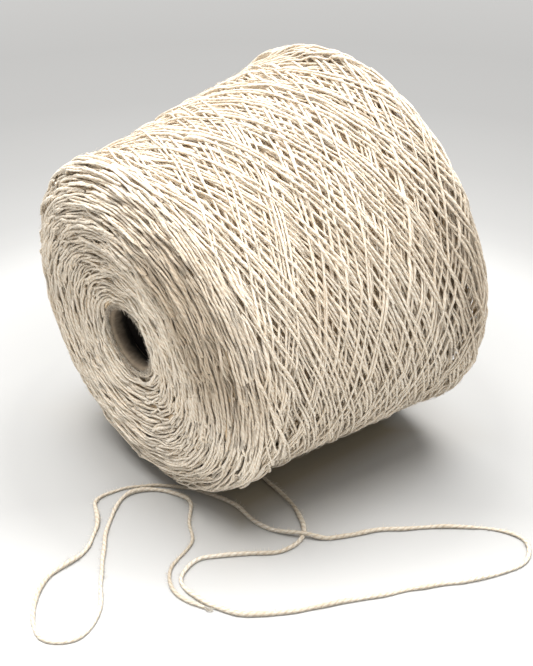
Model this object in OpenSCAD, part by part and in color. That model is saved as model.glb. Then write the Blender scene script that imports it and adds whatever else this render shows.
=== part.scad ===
// Cone of yarn lying on its side, with the loose end of the yarn on the surface in front of it.
// A paper cone carries a cross-wound package of undyed yarn. The wide end of the cone points
// along +X, the nose along -X, and the package rests on the plane Z = 0. The origin is the
// middle of the footprint of everything but the loose yarn.

/* [Paper cone] */
// Length of the paper cone along its axis
cone_length = 170; // [165:1:230]
// Outside diameter of the cone at its nose
nose_diameter = 37; // [30:0.5:44]
// Angle between the cone's surface and its axis
taper_angle = 5.95; // [3.5:0.05:7]
// Thickness of the outer paperboard
board_wall = 1.9; // [1.2:0.1:2.6]
// Thickness of the dark ply that lines the bore
liner_wall = 0.6; // [0.4:0.1:1]
// How far the nose is rolled back into the bore
lip_depth = 8; // [5:0.5:12]
// Thickness of the rolled-in layer at the nose
lip_wall = 1.2; // [0.8:0.1:1.6]
// How far the nose end of the paper sits behind the front of the winding
nose_recess = 6.5; // [5.5:0.5:10]

/* [Winding] */
// Length of the winding along the axis
winding_length = 152; // [125:1:155]
// Diameter of the winding at its nose shoulder
winding_diameter = 180; // [140:1:216]
// Length of the rounding between the nose face and the side
nose_round_length = 24; // [12:1:30]
// Height of the rounding between the nose face and the side
nose_round_height = 28; // [14:1:34]
// Length of the rounding between the base face and the side
base_round_length = 6; // [4:1:16]
// Height of the rounding between the base face and the side
base_round_height = 15; // [6:1:24]
// How far each end face falls in towards the paper cone
face_dish = 5; // [2:0.5:5]
// How much slimmer the side is between its two shoulders
waist_depth = 1.5; // [0.5:0.1:2.5]
// Length over which each shoulder falls to the waist
shoulder_ramp = 14; // [8:1:24]
// How deep the yarn is pressed flat where the package lies
rest_depth = 1.5; // [0.5:0.1:3]

/* [Yarn] */
// Diameter of the yarn
yarn_diameter = 1.8; // [1:0.1:2.4]
// Turns of the starting end wound on the bare paper at the base
reserve_turns = 4; // [2:1:5]
// Gap between the winding and the first of those turns
reserve_gap = 7; // [5:0.5:9]

/* [Hidden] */
$fn = 96;
slope = tan(taper_angle);
winding_r = winding_diameter / 2;
yarn_r = yarn_diameter / 2;

// Stations along the axis, measured from the front of the nose face
cone_end = nose_recess + cone_length;
side_start = nose_round_length;
side_end = winding_length - base_round_length;
base_r = winding_r + (side_end - side_start) * slope;

// Outside radius of the paper cone at a station
function cone_r(s) = nose_diameter / 2 + (s - nose_recess) * slope;
// Radius of the winding's straight side at a station, before the waist is taken off
function side_r(s) = winding_r + (s - side_start) * slope;
function lerp(a, b, u) = a + (b - a) * u;

// Nose lip: a round edge, then a straight land
lip_edge = (board_wall + lip_wall) / 2;
land_r = nose_diameter / 2 - board_wall - lip_wall;
lip_half = (cone_r(nose_recess + lip_edge) - land_r) / 2;
land_end = nose_recess + lip_depth;
// Clear gap between the end of the rolled-in layer and the lining
liner_gap = 0.3;

// Lying pose: the axis rises towards the base by the taper, and the nose shoulder is pressed in
axis_height = winding_r * cos(taper_angle) - nose_round_length * sin(taper_angle) - rest_depth;
// Reach of the whole object before and behind the front of the nose face, along X
reach_back = cone_end * cos(taper_angle) + cone_r(cone_end) * sin(taper_angle);
nose_x = nose_round_length * cos(taper_angle);
nose_z = nose_round_height * sin(taper_angle);
reach_front = (winding_r - nose_round_height) * sin(taper_angle) - nose_x + norm([nose_x, nose_z]);
axis_x = (reach_front - reach_back) / 2;

// Loose yarn: [x, y, height above its resting height], from under the package to its bare end,
// laid out for a nose face whose middle starts at front_x
over = 2;
front_x = -86.35;
route = [
    [-27, -22, 0], [-34, -75, 0], [-44, -88, 0], [-58, -90, 0], [-94, -70, 0],
    [-108, -75, 0], [-110, -90, 0], [-103, -108, 0], [-88, -121, 0], [-30, -148, 0],
    [10, -168, 0], [27, -170, 0], [38, -159, 0], [31, -142, 0], [-10, -111, 0],
    [-34, -98, 0], [-44, -88, over], [-54, -71, 0], [-56, -45, 0], [-65, -24, 0],
    [-79, -9, 0], [-95, -1, 0], [-108, -2, 0], [-119, -20, 0], [-134, -31, 0],
    [-157, -35, 0], [-172, -49, 0], [-179, -66, 0], [-168, -77, 0], [-152, -72, 0],
    [-131, -43, 0], [-103, -12, 0], [-91, -7, 0], [-81, -12, 0], [-71, -30, 0],
    [-82, -45, 0], [-89, -57, 0], [-108, -67, 0], [-115, -79, 0], [-111, -97, 0]
];
cord_sides = 8;
rings_per_span = 2;

// ---- outlines, as [radius, station] ----

function paper_outline() = concat(
    [for (a = [0:15:180])
        [land_r + lip_half + lip_half * cos(a), nose_recess + lip_edge - lip_edge * sin(a)]],
    [[land_r, land_end],
     [cone_r(land_end) - board_wall, land_end],
     [cone_r(cone_end) - board_wall, cone_end],
     [cone_r(cone_end), cone_end]]
);

function lining_outline() =
    let (front = land_end + liner_gap)
    [[cone_r(front) - board_wall, front],
     [cone_r(front) - board_wall - liner_wall, front],
     [cone_r(cone_end) - board_wall - liner_wall, cone_end],
     [cone_r(cone_end) - board_wall, cone_end]];

function winding_outline() =
    let (
        nose_bore = cone_r(face_dish),
        base_bore = cone_r(winding_length - face_dish),
        nose_flat = winding_r - nose_round_height,
        base_flat = base_r - base_round_height
    )
    concat(
        [for (u = [0:0.2:0.8])
            [lerp(nose_bore, nose_flat, u), face_dish * pow(1 - u, 2)]],
        [for (a = [0:7.5:90])
            [nose_flat + nose_round_height * sin(a), side_start * (1 - cos(a))]],
        [[side_r(side_start + shoulder_ramp) - waist_depth, side_start + shoulder_ramp],
         [side_r(side_end - shoulder_ramp) - waist_depth, side_end - shoulder_ramp]],
        [for (a = [0:11.25:90])
            [base_flat + base_round_height * cos(a), side_end + base_round_length * sin(a)]],
        [for (u = [0.8:-0.2:0])
            [lerp(base_bore, base_flat, u), winding_length - face_dish * pow(1 - u, 2)]]
    );

// ---- route of the loose yarn ----

// Point on the smooth span between p1 and p2, with knots set by the distances between points
function knot(t, a, b) = t + sqrt(norm([b.x - a.x, b.y - a.y]));
function blend(a, b, ta, tb, t) = (a * (tb - t) + b * (t - ta)) / (tb - ta);
function span_point(p0, p1, p2, p3, u) =
    let (
        t1 = knot(0, p0, p1), t2 = knot(t1, p1, p2), t3 = knot(t2, p2, p3),
        t = lerp(t1, t2, u),
        a1 = blend(p0, p1, 0, t1, t), a2 = blend(p1, p2, t1, t2, t), a3 = blend(p2, p3, t2, t3, t),
        b1 = blend(a1, a2, 0, t2, t), b2 = blend(a2, a3, t1, t3, t),
        c = blend(b1, b2, t1, t2, t),
        rise = u * u * (3 - 2 * u)
    )
    [c.x, c.y, yarn_r + lerp(p1.z, p2.z, rise)];

last = len(route) - 1;
function route_point(i) =
    i < 0 ? 2 * route[0] - route[1] : i > last ? 2 * route[last] - route[last - 1] : route[i];
line = concat(
    [for (i = [0:last - 1]) for (k = [0:rings_per_span - 1])
        span_point(route_point(i - 1), route[i], route[i + 1], route_point(i + 2),
                   k / rings_per_span)],
    [[route[last].x, route[last].y, yarn_r + route[last].z]]
);

function unit(v) = v / norm(v);
function ring(i) =
    let (
        forward = unit(line[min(i + 1, len(line) - 1)] - line[max(i - 1, 0)]),
        side = unit([-forward.y, forward.x, 0]),
        up = cross(forward, side)
    )
    [for (k = [0:cord_sides - 1])
        let (a = 360 * (k + 0.5) / cord_sides) line[i] + yarn_r * (cos(a) * side + sin(a) * up)];

// ---- pieces ----

// Lays a shape drawn about +Z, nose at the origin, on its side
module lie_down() {
    translate([axis_x, 0, axis_height]) rotate([0, 90 - taper_angle, 0]) children();
}

module paper_cone() {
    color("#b3a58d") lie_down() rotate_extrude() polygon(paper_outline());
}

module bore_lining() {
    color("#2c2620") lie_down() rotate_extrude() polygon(lining_outline());
}

module winding() {
    room = 4 * winding_diameter;
    color("#e8dfcd") difference() {
        lie_down() rotate_extrude() polygon(winding_outline());
        translate([-room / 2, -room / 2, -room]) cube(room);
    }
}

module reserve_turns() {
    color("#e2d6bf") lie_down()
        for (i = [0:reserve_turns - 1]) {
            station = winding_length + reserve_gap + i * yarn_diameter * 1.05;
            translate([0, 0, station])
                rotate_extrude()
                    translate([cone_r(station) + yarn_r / cos(taper_angle), 0])
                        circle(r = yarn_r, $fn = 24);
        }
}

module loose_yarn() {
    rings = len(line);
    points = [for (i = [0:rings - 1]) each ring(i)];
    walls = [for (i = [0:rings - 2]) for (k = [0:cord_sides - 1])
        let (
            a = i * cord_sides + k, b = i * cord_sides + (k + 1) % cord_sides,
            c = a + cord_sides, d = b + cord_sides
        )
        each [[a, c, b], [b, c, d]]];
    start_cap = [for (k = [0:cord_sides - 1]) k];
    end_cap = [for (k = [cord_sides - 1:-1:0]) (rings - 1) * cord_sides + k];
    color("#e4dac6") translate([axis_x - front_x, 0, 0])
        polyhedron(points, concat(walls, [start_cap, end_cap]));
}

paper_cone();
bore_lining();
winding();
reserve_turns();
loose_yarn();
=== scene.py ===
"""Cone of natural slub yarn lying on its side, with the loose end of the yarn in front of it.

Sizes are in millimetres and become metres where a piece is placed in the CAD frame: +Z is up, the
wide end of the paper cone points along +X, and the package rests on the plane Z = 0.
"""

from __future__ import annotations

import logging
import math
from dataclasses import dataclass
from enum import Enum
from functools import cached_property

import bmesh
import bpy
import numpy as np
from mathutils import Matrix, Vector

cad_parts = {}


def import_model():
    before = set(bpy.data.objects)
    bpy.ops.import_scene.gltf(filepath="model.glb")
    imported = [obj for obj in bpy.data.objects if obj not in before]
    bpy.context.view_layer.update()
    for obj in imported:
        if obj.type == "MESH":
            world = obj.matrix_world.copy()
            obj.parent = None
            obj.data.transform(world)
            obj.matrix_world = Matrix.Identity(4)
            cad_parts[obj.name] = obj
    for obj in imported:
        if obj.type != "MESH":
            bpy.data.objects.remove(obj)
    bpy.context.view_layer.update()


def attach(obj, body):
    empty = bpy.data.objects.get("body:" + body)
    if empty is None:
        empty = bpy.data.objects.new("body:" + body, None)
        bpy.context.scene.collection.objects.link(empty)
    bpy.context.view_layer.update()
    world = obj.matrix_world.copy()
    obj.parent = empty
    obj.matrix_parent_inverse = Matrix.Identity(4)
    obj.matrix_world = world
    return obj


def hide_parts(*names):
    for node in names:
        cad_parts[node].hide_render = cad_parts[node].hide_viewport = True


LOG = logging.getLogger("yarn_cone")
MM = 0.001
TURN = 2 * math.pi


class Slot(str, Enum):
    """Material slots of the frame."""

    PAPERBOARD = "paperboard"
    # near-black ply that paints the shade inside the bore
    SHADE_PLY = "dark_paper"
    YARN = "yarn"


class End(Enum):
    """The two ends of the package."""

    NOSE = "nose"
    BASE = "base"


# ---------------------------------------------------------------- helpers


def smooth(u: np.ndarray) -> np.ndarray:
    """Smooth step from 0 to 1, flat outside."""
    u = np.clip(u, 0.0, 1.0)
    return u * u * (3 - 2 * u)


def blurred(values: np.ndarray, reach: float, wrap: bool = False) -> np.ndarray:
    """Gaussian blur of evenly spaced values.

    Args:
        values: The values along one line.
        reach: Standard deviation in samples.
        wrap: Whether the line closes on itself.

    Returns:
        The blurred values.
    """
    half = max(1, int(3 * reach))
    weights = np.exp(-0.5 * (np.arange(-half, half + 1) / reach) ** 2)
    padded = np.pad(values, half, mode="wrap" if wrap else "edge")
    return np.convolve(padded, weights / weights.sum(), mode="valid")


def wander(rng: np.random.Generator, count: int, reach: float) -> np.ndarray:
    """Smooth random line of about unit size.

    Args:
        rng: Source of random numbers.
        count: Number of samples.
        reach: Smoothness, in samples.

    Returns:
        The samples.
    """
    half = int(3 * reach) + 1
    line = blurred(rng.standard_normal(count + 2 * half), reach)[half:half + count]
    return line * math.sqrt(2 * math.sqrt(math.pi) * reach)


# ---------------------------------------------------------------- the package's shape


@dataclass(frozen=True)
class LyingPose:
    """How the cone's own frame (axis, angle round it, station along it) lies in the CAD frame."""

    taper: float
    axis_x: float
    axis_height: float

    def place(self, radius: np.ndarray, angle: np.ndarray, station: np.ndarray) -> np.ndarray:
        """Points in metres from a radius, an angle and a station in millimetres.

        Args:
            radius: Distances from the axis.
            angle: Angles round the axis, in radians.
            station: Stations along the axis.

        Returns:
            The points.
        """
        across, side = radius * np.cos(angle), radius * np.sin(angle)
        c, s = math.cos(self.taper), math.sin(self.taper)
        return MM * np.stack(
            [across * s + station * c + self.axis_x, side,
             -across * c + station * s + self.axis_height], axis=-1)

    def matrix(self) -> Matrix:
        """The same placing as a matrix, for a piece made in millimetres round its own Z axis.

        Returns:
            The matrix.
        """
        c, s = math.cos(self.taper), math.sin(self.taper)
        return Matrix.Scale(MM, 4) @ Matrix(
            ((s, 0, c, self.axis_x), (0, 1, 0, 0), (-c, 0, s, self.axis_height), (0, 0, 0, 1)))


@dataclass(frozen=True)
class PackageShape:
    """Sizes shared by the paper cone and the winding, as stations and radii."""

    taper: float = math.radians(5.95)
    nose_radius: float = 18.5
    nose_recess: float = 6.5
    cone_length: float = 170.0
    winding_length: float = 152.0
    winding_radius: float = 90.0
    nose_round: tuple[float, float] = (24.0, 28.0)
    base_round: tuple[float, float] = (6.0, 15.0)
    face_dish: float = 5.0
    waist: float = 1.5
    ramp: float = 14.0
    rest_depth: float = 1.5

    @property
    def cone_end(self) -> float:
        """Station of the wide end of the paper cone."""
        return self.nose_recess + self.cone_length

    @cached_property
    def pose(self) -> LyingPose:
        """How the package lies: pressed flat at the nose shoulder, with the origin in its middle.

        Returns:
            The pose.
        """
        c, s = math.cos(self.taper), math.sin(self.taper)
        run, rise = self.nose_round
        back = self.cone_end * c + self.cone_radius(self.cone_end) * s
        front = (self.winding_radius - rise) * s - run * c + math.hypot(run * c, rise * s)
        height = self.winding_radius * c - run * s - self.rest_depth
        return LyingPose(self.taper, (front - back) / 2, height)

    def cone_radius(self, station: float) -> float:
        """Outside radius of the paper cone at a station."""
        return self.nose_radius + (station - self.nose_recess) * math.tan(self.taper)

    def side_radius(self, station: np.ndarray) -> np.ndarray:
        """Radius of the winding's straight side at a station."""
        return self.winding_radius + (station - self.nose_round[0]) * math.tan(self.taper)


class WindingOutline:
    """The winding's outline, walked from the bore at the nose, over the side, to the base."""

    STEP = 0.25
    # samples between the two faces, where the station only grows
    SIDE = slice(200, -240)

    def __init__(self, shape: PackageShape) -> None:
        """Samples the outline evenly along its length.

        Args:
            shape: Sizes of the package.
        """
        self.shape = shape
        radius, station = self._corners()
        walked = np.concatenate([[0.0], np.cumsum(np.hypot(np.diff(radius), np.diff(station)))])
        self.length = float(walked[-1])
        self.walk = np.arange(0.0, self.length, self.STEP)
        self.radius = np.interp(self.walk, walked, radius)
        self.station = np.interp(self.walk, walked, station)
        grow = blurred(np.gradient(self.radius, self.walk), 6)
        run = blurred(np.gradient(self.station, self.walk), 6)
        size = np.hypot(grow, run)
        self.normal_out, self.normal_along = run / size, -grow / size

    def _corners(self) -> tuple[np.ndarray, np.ndarray]:
        """Radius and station of closely spaced points on the outline.

        Returns:
            The radii and the stations.
        """
        s = self.shape
        run, rise = s.nose_round
        base_run, base_rise = s.base_round
        base_radius = float(s.side_radius(s.winding_length - base_run))
        nose_flat, base_flat = s.winding_radius - rise, base_radius - base_rise
        u = np.linspace(0, 1, 60)
        quarter = np.linspace(0, math.pi / 2, 80)
        side = np.linspace(run, s.winding_length - base_run, 200)[1:-1]
        inward = smooth(np.minimum(side - side[0], side[-1] - side) / s.ramp)
        radius = np.concatenate([
            s.cone_radius(s.face_dish) + u * (nose_flat - s.cone_radius(s.face_dish)),
            nose_flat + rise * np.sin(quarter[1:]),
            s.side_radius(side) - s.waist * inward,
            base_flat + base_rise * np.cos(quarter),
            base_flat + u[1:] * (s.cone_radius(s.winding_length - s.face_dish) - base_flat)])
        station = np.concatenate([
            s.face_dish * (1 - u) ** 2,
            run * (1 - np.cos(quarter[1:])),
            side,
            s.winding_length - base_run + base_run * np.sin(quarter),
            s.winding_length - s.face_dish * u[1:] ** 2])
        return radius, station

    def at(self, walk: np.ndarray, values: np.ndarray) -> np.ndarray:
        """Values of one of the outline's arrays at places along it."""
        return np.interp(walk, self.walk, values)

    def walk_at_radius(self, radius: float, end: End) -> float:
        """Place on one end's face or rounding where the outline has a radius.

        Args:
            radius: The radius.
            end: Which end.

        Returns:
            The place along the outline.
        """
        middle, widest = len(self.walk) // 2, int(np.argmax(self.radius))
        part = slice(0, middle) if end is End.NOSE else slice(len(self.walk) - 1, widest, -1)
        return float(np.interp(radius, self.radius[part], self.walk[part]))

    def walk_at_station(self, station: float) -> float:
        """Place on the side where the outline has a station."""
        return float(np.interp(station, self.station[self.SIDE], self.walk[self.SIDE]))


# ---------------------------------------------------------------- laying the yarn


@dataclass
class Strand:
    """A length of yarn on the winding: where it runs over the outline, and how high it lies."""

    walk: np.ndarray
    angle: np.ndarray
    height: np.ndarray
    radius: np.ndarray


class LaidYarn:
    """Height of the yarn laid so far, over small cells of the winding's surface."""

    CELL = 0.6
    # a strand's crown over its middle, as a share of its radius, and the share of the cells below
    # the crest of the pile
    CROWN, BELOW_CREST = 0.85, 0.9
    # places across a strand, as shares of its radius, where it rests and where it covers cells
    RESTS_AT = (-0.85, -0.45, 0.0, 0.45, 0.85)
    COVERS_AT = (-0.9, -0.6, -0.3, 0.0, 0.3, 0.6, 0.9)

    def __init__(self, outline: WindingOutline) -> None:
        """Starts with a bare core.

        Args:
            outline: Outline that the core follows.
        """
        self.outline = outline
        self.nestle = 1.0
        self.rows = int(outline.length / self.CELL) + 1
        radius = outline.at(np.arange(self.rows) * self.CELL, outline.radius)
        self.cells = np.maximum(48, (TURN * radius / self.CELL).astype(int))
        self.first = np.concatenate([[0], np.cumsum(self.cells)[:-1]])
        self.top = np.zeros(int(self.cells.sum()))

    def index(self, walk: np.ndarray, angle: np.ndarray) -> np.ndarray:
        """Cell that holds each place.

        Args:
            walk: Places along the outline.
            angle: Angles round the axis, in radians.

        Returns:
            Number of each cell.
        """
        row = np.clip(np.rint(walk / self.CELL).astype(int), 0, self.rows - 1)
        column = ((angle % TURN) / TURN * self.cells[row]).astype(int) % self.cells[row]
        return self.first[row] + column

    def _beside(self, walk: np.ndarray, angle: np.ndarray, slope: np.ndarray,
                off: np.ndarray) -> np.ndarray:
        """Cells a given distance to the side of a line over the surface.

        Args:
            walk: Places along the outline.
            angle: Angles round the axis, in radians.
            slope: The line's slopes to the circumference, in radians.
            off: Distances to the side.

        Returns:
            Number of each cell.
        """
        around = self.outline.at(walk, self.outline.radius)
        return self.index(walk + off * np.cos(slope), angle - off * np.sin(slope) / around)

    def needed(self, walk: np.ndarray, angle: np.ndarray, slope: np.ndarray,
               radius: np.ndarray) -> np.ndarray:
        """Lowest height of a strand's middle that keeps it on what is laid already.

        Args:
            walk: Places along the outline.
            angle: Angles round the axis, in radians.
            slope: The line's slopes to the circumference, in radians.
            radius: Radii of the strand.

        Returns:
            The heights over the core.
        """
        low = np.full(len(walk), -1e9)
        for share in self.RESTS_AT:
            cells = self._beside(walk, angle, slope, share * radius)
            rise = self.nestle * radius * math.sqrt(1 - share * share)
            low = np.maximum(low, self.top[cells] + rise)
        return low

    def lay(self, walk: np.ndarray, angle: np.ndarray, slope: np.ndarray, height: np.ndarray,
            radius: np.ndarray) -> None:
        """Raises the cells under a strand to its crown.

        Args:
            walk: Places along the outline.
            angle: Angles round the axis, in radians.
            slope: The line's slopes to the circumference, in radians.
            height: Heights of its middle over the core.
            radius: Its radii.
        """
        fine = np.arange(0, len(walk) - 1, 0.45)
        grid = np.arange(len(walk))
        walk, angle, slope, height, radius = (
            np.interp(fine, grid, v) for v in (walk, angle, slope, height, radius))
        for share in self.COVERS_AT:
            cells = self._beside(walk, angle, slope, share * radius)
            crown = height + self.CROWN * radius * math.sqrt(1 - share * share)
            np.maximum.at(self.top, cells, crown)

    def pile(self, places: int, reach: float) -> np.ndarray:
        """How high the crest of the pile stands, smoothed over its small bumps.

        Args:
            places: Number of places round the axis.
            reach: How far the heights are smoothed, in millimetres.

        Returns:
            Heights, one row for each row of cells.
        """
        angle = (np.arange(places) + 0.5) * TURN / places
        rows = []
        for k in range(self.rows):
            walk = np.full(places, k * self.CELL)
            around = float(self.outline.at(walk[:1], self.outline.radius)[0])
            line = np.mean([self.top[self.index(walk, angle + off / places)]
                            for off in (-2.5, -1.5, -0.5, 0.5, 1.5, 2.5)], axis=0)
            cells = self.top[self.first[k]:self.first[k] + self.cells[k]]
            crest = np.quantile(cells, self.BELOW_CREST) - cells.mean()
            rows.append(blurred(line, max(1.0, reach * places / (TURN * around)), True) + crest)
        columns = [blurred(column, reach / self.CELL) for column in np.transpose(rows)]
        return np.transpose(columns)


def taut(height: np.ndarray, bend: np.ndarray) -> np.ndarray:
    """Pulls a line tight over the heights that it has to clear.

    Args:
        height: Lowest allowed heights at steps of one millimetre.
        bend: How much the surface curves away below a straight line there, as a curvature.

    Returns:
        Heights of the tight line.
    """
    fall = np.cumsum(np.cumsum(bend))
    lifted = height - fall
    corners: list[int] = []
    for i in range(len(lifted)):
        while len(corners) > 1:
            a, b = corners[-2], corners[-1]
            if (lifted[b] - lifted[a]) * (i - a) <= (lifted[i] - lifted[a]) * (b - a):
                corners.pop()
            else:
                break
        corners.append(i)
    return np.interp(np.arange(len(lifted)), corners, lifted[corners]) + fall


@dataclass(frozen=True)
class YarnThickness:
    """Uneven thickness of the spun yarn."""

    radius: float = 0.52
    slub_every: float = 110.0
    slub_swell: float = 0.55
    # size and smoothness of its long and short unevenness, and its limits
    uneven: tuple[tuple[float, float], ...] = ((0.10, 9.0), (0.07, 2.2))
    thinnest: float = 0.72
    thickest: float = 1.3

    def along(self, rng: np.random.Generator, count: int, step: float = 1.0) -> np.ndarray:
        """Radius at even steps along a strand.

        Args:
            rng: Source of random numbers.
            count: Number of samples.
            step: Distance between samples.

        Returns:
            The radii, thicker at slubs.
        """
        share = np.ones(count)
        for size, reach in self.uneven:
            share = share + size * wander(rng, count, reach / step)
        share = np.clip(share, self.thinnest, self.thickest) * rng.uniform(0.88, 1.08)
        place = np.arange(count) * step
        for _ in range(rng.poisson(count * step / self.slub_every)):
            middle, reach = rng.uniform(0, count * step), rng.uniform(2.5, 8)
            swell = self.slub_swell * rng.uniform(0.35, 1.0)
            share = share + swell * np.exp(-((place - middle) / reach) ** 2)
        return self.radius * share


@dataclass(frozen=True)
class ProudPair:
    """Two neighbouring strands that stand out, by a place that they pass and how they run there."""

    walk: float
    angle: float
    lean: float
    to_base: bool
    beside: float


@dataclass(frozen=True)
class Swell:
    """A soft bulge or hollow of the package: where it is, its height, and how far it spreads."""

    walk: float
    angle: float
    height: float
    reach: float
    spread: float


@dataclass(frozen=True)
class CoilHabit:
    """How unevenly the turning strands lie, in millimetres."""

    bow: float = 1.8
    drift: float = 1.3
    sway: float = 0.27
    shake: float = 0.17
    shallow_dive: float = 0.9
    deep_dive: float = 1.7
    tries: int = 10


@dataclass(frozen=True)
class TraverseHabit:
    """How the yarn runs back and forth between the shoulders."""

    passes: int = 640
    lean: float = math.radians(16.5)
    lean_spread: float = 1.0
    turn: float = 80.0
    neighbours: float = 0.2
    tries: int = 16
    sway: float = 0.10
    # shares of the passes after which the proud pairs are laid, and some neighbours run one way
    proud_from: float = 0.9
    mixed_from: float = 0.8
    # range of the turning places, at first and how much farther when the cone is full: places
    # along the outline at the nose, a station and a radius at the base
    nose_turns: tuple[tuple[float, float], ...] = ((58, 17), (75, 10))
    base_station: float = 146.0
    base_radius: tuple[float, float] = (88, 8)
    proud_station: float = 12.0
    # how far a tight strand may slip sideways, and how steep a hollow draws it in
    slip: float = 1.8
    slip_softness: float = 0.18


@dataclass
class Winding:
    """The yarn wound on the paper cone, laid strand by strand over a core."""

    shape: PackageShape
    seed: int = 7
    face_yarn: YarnThickness = YarnThickness(radius=0.55)
    side_yarn: YarnThickness = YarnThickness()
    # how high a strand rests on those below, as a share of its radius
    face_nestle: float = 0.8
    side_nestle: float = 0.62
    coil: CoilHabit = CoilHabit()
    traverse: TraverseHabit = TraverseHabit()
    # first and last radius of each face, how often the coils cover it, and the length that shows
    nose_coils: tuple[float, float, float, float] = (18.9, 88.0, 2.5, 28.0)
    base_coils: tuple[float, float, float, float] = (102.0, 35.2, 1.7, 32.0)
    # the same for the last coils at the nose rim, by places along the outline
    rim_coils: tuple[float, float, float, float] = (54.0, 79.0, 1.5, 58.0)
    hidden_below: float = 2.4
    stands_out: float = 0.7
    places_round: int = 360
    even_over: float = 6.0
    swollen: float = 1.10
    points_a_piece: int = 15000
    # one face strand in so many is deep and gets a darker, browner copy of the yarn as painted shade, and
    # so does this share of the side's strands
    face_layers: int = 3
    inner_side: float = 0.55
    fibre_pieces: int = 3
    fibres_tried: int = 24000
    fibres_at_bore: int = 300
    fibre_length: tuple[float, float] = (1.2, 4.6)
    fibre_radii: tuple[float, float, float] = (0.06, 0.05, 0.03)
    fibre_buried: float = 1.1
    bore_fibre_length: tuple[float, float] = (0.4, 2.6)
    bore_fibre_radii: tuple[float, float, float] = (0.09, 0.07, 0.04)
    # how far the core stays below the pile's mean height, above the floor, and off the bore
    core_below: float = 0.3
    core_clear: float = 1.6
    core_off_cone: float = 0.05
    proud: tuple[ProudPair, ...] = (
        ProudPair(128, 233, 21.5, True, 0.035), ProudPair(150, 213, 15, True, 0.05),
        ProudPair(159, 243, 20, False, 0.04), ProudPair(176, 250, 17, False, 0.045),
        ProudPair(108, 238, 19, False, 0.05), ProudPair(190, 222, 14, True, 0.04))
    swells: tuple[Swell, ...] = (
        Swell(66, 157, 1.7, 16, 24), Swell(202, 208, 0.4, 14, 24), Swell(190, 172, -1.4, 18, 16))

    def __post_init__(self) -> None:
        """Prepares a bare core."""
        self.outline = WindingOutline(self.shape)
        self.laid = LaidYarn(self.outline)
        self.rng = np.random.default_rng(self.seed)
        self.thickness = self.face_yarn
        self.faces: dict[End, list[Strand]] = {End.NOSE: [], End.BASE: []}
        self.side: list[Strand] = []

    # -- the two faces

    def lay_coils(self, end: End, span: tuple[float, float], cover: float, shown: float) -> None:
        """Lays the turning places of the layers, which make the face at one end.

        Args:
            end: Which face.
            span: Places along the outline of the first and last of them.
            cover: How many times over the yarn covers that part.
            shown: Usual length of yarn that shows, in millimetres.
        """
        rng, strands = self.rng, self.faces[end]
        start, stop = span
        pitch = 2 * self.thickness.radius
        spots = []
        for walk in np.arange(start, stop, pitch):
            around = TURN * float(self.outline.at(walk, self.outline.radius))
            mean = min(shown, around * 0.34)
            for _ in range(max(3, int(round(cover * around / mean)))):
                spots.append((walk + rng.uniform(-0.5, 0.5) * pitch, mean * rng.uniform(0.6, 1.5)))
        for k in rng.permutation(len(spots)):
            middle, length = spots[k]
            strands.append(self._turning(middle, length))

    def _turning(self, middle: float, length: float) -> Strand:
        """One strand of a face, near-circular, that comes up out of the pile and dives again.

        Args:
            middle: Place along the outline of its outermost point.
            length: Length of yarn that shows.

        Returns:
            The strand.
        """
        rng, outline = self.rng, self.outline
        count = max(12, int(length))
        t, habit = np.linspace(-1, 1, count), self.coil
        bow, drift = rng.uniform(-habit.bow, habit.bow), rng.uniform(-habit.drift, habit.drift)
        walk = middle + bow * t ** 2 + drift * t
        walk = walk + habit.sway * wander(rng, count, 4) + habit.shake * wander(rng, count, 1.7)
        walk = np.clip(walk, 0.8, outline.length - 0.8)
        around = outline.at(walk, outline.radius) + 1.5
        turned = np.concatenate([[0], np.cumsum(1 / around[1:])])
        starts = rng.uniform(0, TURN, habit.tries)
        levels = [float(np.mean(self.laid.top[self.laid.index(walk, s + turned)])) for s in starts]
        angle = float(starts[int(np.argmin(levels))]) + turned
        slope = np.arctan(np.gradient(walk))
        radius = self.thickness.along(rng, count)
        low = self.laid.needed(walk, angle, slope, radius)
        high = np.max([np.roll(low, k) for k in (-1, 0, 1)], axis=0)
        dive = rng.uniform(habit.shallow_dive, habit.deep_dive)
        height = blurred(high, 1.6) - dive * np.abs(t) ** 5
        self.laid.lay(walk, angle, slope, height, radius)
        return Strand(walk, angle, height, radius)

    # -- the side

    def lay_side(self) -> None:
        """Lays the yarn back and forth between the two shoulders."""
        rng, habit = self.rng, self.traverse
        before: dict[bool, tuple[float, float, float]] = {}
        for k in range(habit.passes):
            done = k / habit.passes
            to_base = k % 2 == 0 or (done > habit.mixed_from and rng.random() < 0.3)
            if k == int(habit.proud_from * habit.passes):
                for pair in self.proud:
                    self.lay_proud(pair)
            lean = habit.lean + math.radians(rng.normal(0, habit.lean_spread))
            if to_base in before and rng.random() < habit.neighbours:
                angle, start, goal = before[to_base]
                angle += rng.choice([-1, 1]) * rng.uniform(0.040, 0.055)
                start, goal = start + rng.normal(0, 0.8), goal + rng.normal(0, 0.8)
            else:
                angle, start, goal = self._lowest_way(to_base, done, lean)
            before[to_base] = angle, start, goal
            self.side.append(self._traverse(start, goal, angle, lean))

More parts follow.
